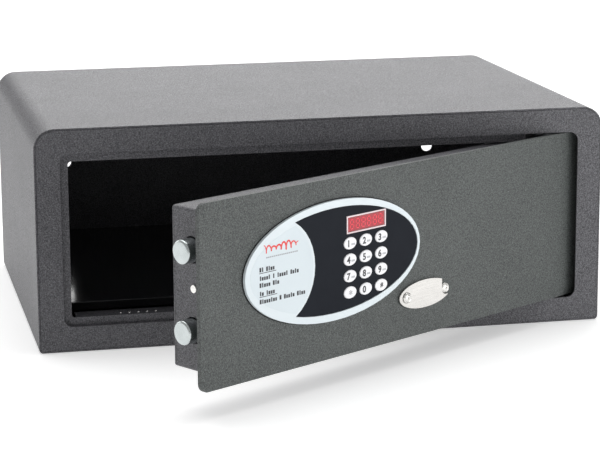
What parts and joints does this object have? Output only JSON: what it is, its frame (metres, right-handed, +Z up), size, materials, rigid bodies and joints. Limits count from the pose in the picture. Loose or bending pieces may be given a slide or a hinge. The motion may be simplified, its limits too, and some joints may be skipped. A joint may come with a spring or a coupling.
{
  "type": "in room safe",
  "caption": "Sheet-steel hotel room safe with a hinged door, keypad, motor-driven bolts and key override, standing ajar.",
  "frame": {"origin": "centre of the base, on the surface that the safe stands on", "axes": "+Z up; the door and the keypad face -Y, and the rear panel faces +Y; +X is to the right as the front is looked at, on the hinge side"},
  "size_m": [0.518, 0.5893, 0.2],
  "materials": {
    "cabinet_paint": "fine textured dark grey powder coat",
    "door_paint": "fine textured grey-green powder coat",
    "inner_paint": "smooth gloss black paint",
    "bright_steel": "polished, with fine scratches",
    "zinc": "zinc plate",
    "brass": "machined",
    "silver_plastic": "satin silver-white moulding",
    "white_plastic": "satin white",
    "panel_film": "satin blue-black film",
    "black_plastic": "fine grained black moulding",
    "red_lens": "clear red window",
    "red_plastic": "red button",
    "board_green": "circuit board with solder mask",
    "nylon": "natural nylon",
    "battery_sleeve": "printed sleeve with no lettering"
  },
  "bodies": {
    "cabinet": {"casing": "cabinet_paint", "rear_panel": "cabinet_paint", "front_frame": "cabinet_paint", "door_stop": "cabinet_paint", "floor_tray": "inner_paint", "hinge_bracket_upper": "zinc", "hinge_bracket_lower": "zinc", "hinge_pin_upper": "bright_steel", "hinge_pin_lower": "bright_steel"},
    "door": {"door_plate": "door_paint", "door_box": "cabinet_paint", "hinge_lug_upper": "zinc", "hinge_lug_lower": "zinc", "hinge_bush_upper": "nylon", "hinge_bush_lower": "nylon", "bolt_guide": "zinc", "rear_cover": "cabinet_paint", "side_screw": "bright_steel", "motor_bracket": "zinc", "lock_motor": "zinc", "gear_post": "bright_steel", "guide_post": "bright_steel", "circuit_board": "board_green", "display_module": "black_plastic", "display_window": "red_lens", "display_frame": "white_plastic", "keypad_bezel": "silver_plastic", "keypad_panel": "panel_film", "label_panel": "white_plastic", "battery_holder": "black_plastic", "battery_pack": "battery_sleeve", "lock_body": "zinc", "lock_nut": "zinc", "cover_pivot_screw": "bright_steel", "cover_lock_screw": "bright_steel"},
    "bolts": {"bolt_upper": "bright_steel", "bolt_lower": "bright_steel", "bolt_carrier": "zinc", "bolt_screw_upper": "zinc", "bolt_screw_lower": "zinc"},
    "drive_gear": {"drive_gear": "brass"},
    "motor_pinion": {"motor_pinion": "brass"},
    "key_1": {"key_1": "white_plastic"},
    "key_2": {"key_2": "white_plastic"},
    "key_3": {"key_3": "white_plastic"},
    "key_4": {"key_4": "white_plastic"},
    "key_5": {"key_5": "white_plastic"},
    "key_6": {"key_6": "white_plastic"},
    "key_7": {"key_7": "white_plastic"},
    "key_8": {"key_8": "white_plastic"},
    "key_9": {"key_9": "white_plastic"},
    "key_star": {"key_star": "white_plastic"},
    "key_0": {"key_0": "white_plastic"},
    "key_hash": {"key_hash": "white_plastic"},
    "override_cover": {"override_cover": "bright_steel"},
    "lock_plug": {"lock_plug": "brass", "lock_cam": "zinc"},
    "reset_button": {"reset_button": "red_plastic"},
    "battery_cover": {"battery_cover": "black_plastic"}
  },
  "joints": [
    {"name": "door_swing", "type": "hinge", "parent": "cabinet", "child": "door", "pos_m": [0.2135, -0.1555, 0.1], "axis": [0, 0, 1], "range_deg": [-32, 46]},
    {"name": "bolt_slide", "type": "slide", "parent": "door", "child": "bolts", "axis": [0.848, 0.5299, 0], "range_m": [0, 0.012]},
    {"name": "drive_gear_spin", "type": "hinge", "parent": "door", "child": "drive_gear", "pos_m": [-0.07903, -0.34537, 0.0908], "axis": [-0.5299, 0.848, 0], "range_deg": [0, 57.4]},
    {"name": "motor_pinion_spin", "type": "hinge", "parent": "door", "child": "motor_pinion", "pos_m": [-0.06704, -0.33788, 0.07666], "axis": [-0.5299, 0.848, 0], "range_deg": [-86.1, 0]},
    {"name": "key_1_press", "type": "slide", "parent": "door", "child": "key_1", "axis": [-0.5299, 0.848, 0], "range_m": [0, 0.0007], "stiffness_N_per_m": 300},
    {"name": "key_2_press", "type": "slide", "parent": "door", "child": "key_2", "axis": [-0.5299, 0.848, 0], "range_m": [0, 0.0007], "stiffness_N_per_m": 300},
    {"name": "key_3_press", "type": "slide", "parent": "door", "child": "key_3", "axis": [-0.5299, 0.848, 0], "range_m": [0, 0.0007], "stiffness_N_per_m": 300},
    {"name": "key_4_press", "type": "slide", "parent": "door", "child": "key_4", "axis": [-0.5299, 0.848, 0], "range_m": [0, 0.0007], "stiffness_N_per_m": 300},
    {"name": "key_5_press", "type": "slide", "parent": "door", "child": "key_5", "axis": [-0.5299, 0.848, 0], "range_m": [0, 0.0007], "stiffness_N_per_m": 300},
    {"name": "key_6_press", "type": "slide", "parent": "door", "child": "key_6", "axis": [-0.5299, 0.848, 0], "range_m": [0, 0.0007], "stiffness_N_per_m": 300},
    {"name": "key_7_press", "type": "slide", "parent": "door", "child": "key_7", "axis": [-0.5299, 0.848, 0], "range_m": [0, 0.0007], "stiffness_N_per_m": 300},
    {"name": "key_8_press", "type": "slide", "parent": "door", "child": "key_8", "axis": [-0.5299, 0.848, 0], "range_m": [0, 0.0007], "stiffness_N_per_m": 300},
    {"name": "key_9_press", "type": "slide", "parent": "door", "child": "key_9", "axis": [-0.5299, 0.848, 0], "range_m": [0, 0.0007], "stiffness_N_per_m": 300},
    {"name": "key_star_press", "type": "slide", "parent": "door", "child": "key_star", "axis": [-0.5299, 0.848, 0], "range_m": [0, 0.0007], "stiffness_N_per_m": 300},
    {"name": "key_0_press", "type": "slide", "parent": "door", "child": "key_0", "axis": [-0.5299, 0.848, 0], "range_m": [0, 0.0007], "stiffness_N_per_m": 300},
    {"name": "key_hash_press", "type": "slide", "parent": "door", "child": "key_hash", "axis": [-0.5299, 0.848, 0], "range_m": [0, 0.0007], "stiffness_N_per_m": 300},
    {"name": "override_cover_swing", "type": "hinge", "parent": "door", "child": "override_cover", "pos_m": [0.04499, -0.28815, 0.06], "axis": [-0.5299, 0.848, 0], "range_deg": [0, 95]},
    {"name": "lock_plug_turn", "type": "hinge", "parent": "door", "child": "lock_plug", "pos_m": [0.05877, -0.26398, 0.06], "axis": [-0.5299, 0.848, 0], "range_deg": [0, 90]},
    {"name": "reset_button_press", "type": "slide", "parent": "door", "child": "reset_button", "axis": [0.5299, -0.848, 0], "range_m": [0, 0.0015], "stiffness_N_per_m": 250},
    {"name": "battery_cover_slide", "type": "slide", "parent": "door", "child": "battery_cover", "axis": [0.848, 0.5299, 0], "range_m": [0, 0.02]}
  ],
  "couplings": [
    {"joint": "drive_gear_spin", "follows": "bolt_slide", "rad_per_m": 83.333},
    {"joint": "motor_pinion_spin", "follows": "bolt_slide", "rad_per_m": -125}
  ]
}
